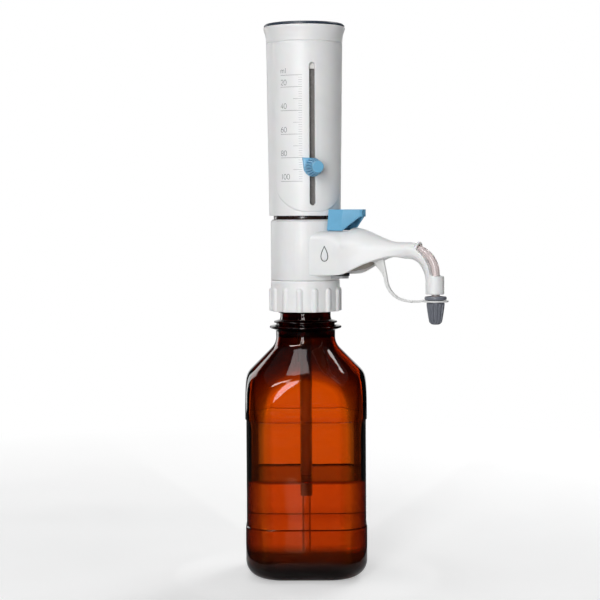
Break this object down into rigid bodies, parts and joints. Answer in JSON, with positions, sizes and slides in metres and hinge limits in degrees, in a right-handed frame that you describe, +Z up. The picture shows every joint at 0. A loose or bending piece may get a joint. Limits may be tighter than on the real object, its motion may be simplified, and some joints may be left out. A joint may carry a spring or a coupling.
{
  "type": "bottle top dispenser",
  "caption": "Piston dispenser on an amber threaded bottle: graduated sleeve with clamped volume pointer, valve block, curved discharge arm, lever, tethered cap.",
  "frame": {"origin": "centre of the bottle's foot, on the surface that it stands on", "axes": "+Z up along the bottle and the piston, +X along the discharge arm towards its mouth"},
  "size_m": [0.1865, 0.1166, 0.4495],
  "materials": {
    "amber_glass": "smooth, amber brown, lightly moulded",
    "clear_glass": "smooth, clear",
    "shell_white": "white moulded polypropylene, satin",
    "core_white": "white fluoropolymer, satin",
    "seal_white": "soft white fluoropolymer",
    "tube_clear": "translucent fluoropolymer tube",
    "tube_pink": "translucent fluoropolymer tube with a faint warm tint",
    "strap_clear": "thin translucent polypropylene",
    "spring_steel": "drawn wire, bright",
    "ball_ceramic": "polished ceramic",
    "nut_taupe": "taupe moulded plastic",
    "guard_dark": "dark brown moulded plastic, glossy",
    "ring_dark": "dark brown moulded plastic, glossy",
    "vent_black": "black elastomer",
    "tab_grey": "light grey moulded plastic",
    "blue": "light blue moulded plastic, satin",
    "cap_grey": "slate grey moulded plastic",
    "disc_navy": "dark slate blue moulded plastic"
  },
  "bodies": {
    "bottle": {"bottle": "amber_glass"},
    "washer": {"neck_washer": "seal_white"},
    "collar": {"collar": "shell_white"},
    "dispenser": {"valve_block": "core_white", "block_housing": "shell_white", "filling_valve": "core_white", "dip_tube_upper": "tube_clear", "return_tube": "tube_clear", "discharge_valve": "core_white", "discharge_spring": "spring_steel", "tube_flange": "core_white", "union_nut": "nut_taupe", "discharge_tube": "tube_pink", "arm_shell": "shell_white", "cap_strap": "strap_clear", "cylinder_seal": "seal_white", "glass_cylinder": "clear_glass", "guard_tube": "guard_dark", "stop_ring": "core_white"},
    "inlet_ball": {"inlet_ball": "ball_ceramic"},
    "discharge_ball": {"discharge_ball": "ball_ceramic"},
    "dip_tube_lower": {"dip_tube_lower": "tube_clear"},
    "vent": {"vent_filter": "vent_black", "vent_tab": "tab_grey"},
    "lever": {"valve_ring": "ring_dark", "port_shutter": "seal_white", "recirc_lever": "blue"},
    "tube_cap": {"tube_cap": "cap_grey", "strap_ring": "strap_clear"},
    "plunger": {"sleeve": "shell_white", "scale_panel": "shell_white", "top_cap": "shell_white", "top_disc": "disc_navy", "piston_rod": "core_white", "piston": "seal_white", "piston_ring": "vent_black", "rod_nut": "spring_steel"},
    "slider": {"slider_lug": "guard_dark", "pointer": "blue"},
    "clamp_knob": {"clamp_knob": "blue"}
  },
  "joints": [
    {"name": "neck_lift", "type": "slide", "parent": "bottle", "child": "washer", "axis": [0, 0, 1], "range_m": [0, 0.012]},
    {"name": "collar_turn", "type": "hinge", "parent": "washer", "child": "collar", "pos_m": [0, 0, 0], "axis": [0, 0, 1], "range_deg": [0, 1080]},
    {"name": "swivel", "type": "hinge", "parent": "washer", "child": "dispenser", "pos_m": [0, 0, 0], "axis": [0, 0, 1], "continuous": true},
    {"name": "inlet_ball_lift", "type": "slide", "parent": "dispenser", "child": "inlet_ball", "axis": [0, 0, 1], "range_m": [0, 0.0022]},
    {"name": "discharge_ball_slide", "type": "slide", "parent": "dispenser", "child": "discharge_ball", "axis": [1, 0, 0], "range_m": [0, 0.0015], "deforming": ["discharge_spring"]},
    {"name": "dip_slide", "type": "slide", "parent": "dispenser", "child": "dip_tube_lower", "axis": [0, 0, 1], "range_m": [-0.0025, 0.055]},
    {"name": "vent_pull", "type": "slide", "parent": "dispenser", "child": "vent", "axis": [1, 0, 0], "range_m": [0, 0.014]},
    {"name": "lever_turn", "type": "hinge", "parent": "dispenser", "child": "lever", "pos_m": [0, 0, 0], "axis": [0, 0, 1], "range_deg": [0, 35]},
    {"name": "cap_pull", "type": "slide", "parent": "dispenser", "child": "tube_cap", "axis": [0, 0, -1], "range_m": [0, 0.022], "deforming": ["cap_strap"]},
    {"name": "piston_lift", "type": "slide", "parent": "dispenser", "child": "plunger", "axis": [0, 0, 1], "range_m": [0, 0.0752]},
    {"name": "volume_slide", "type": "slide", "parent": "plunger", "child": "slider", "axis": [0, 0, 1], "range_m": [-0.0188, 0.0658]},
    {"name": "knob_turn", "type": "hinge", "parent": "slider", "child": "clamp_knob", "pos_m": [0, 0, 0.3332], "axis": [0.6691, -0.7431, 0], "range_deg": [0, 270]}
  ],
  "couplings": [
    {"joint": "collar_turn", "follows": "neck_lift", "rad_per_m": 1570.8}
  ]
}
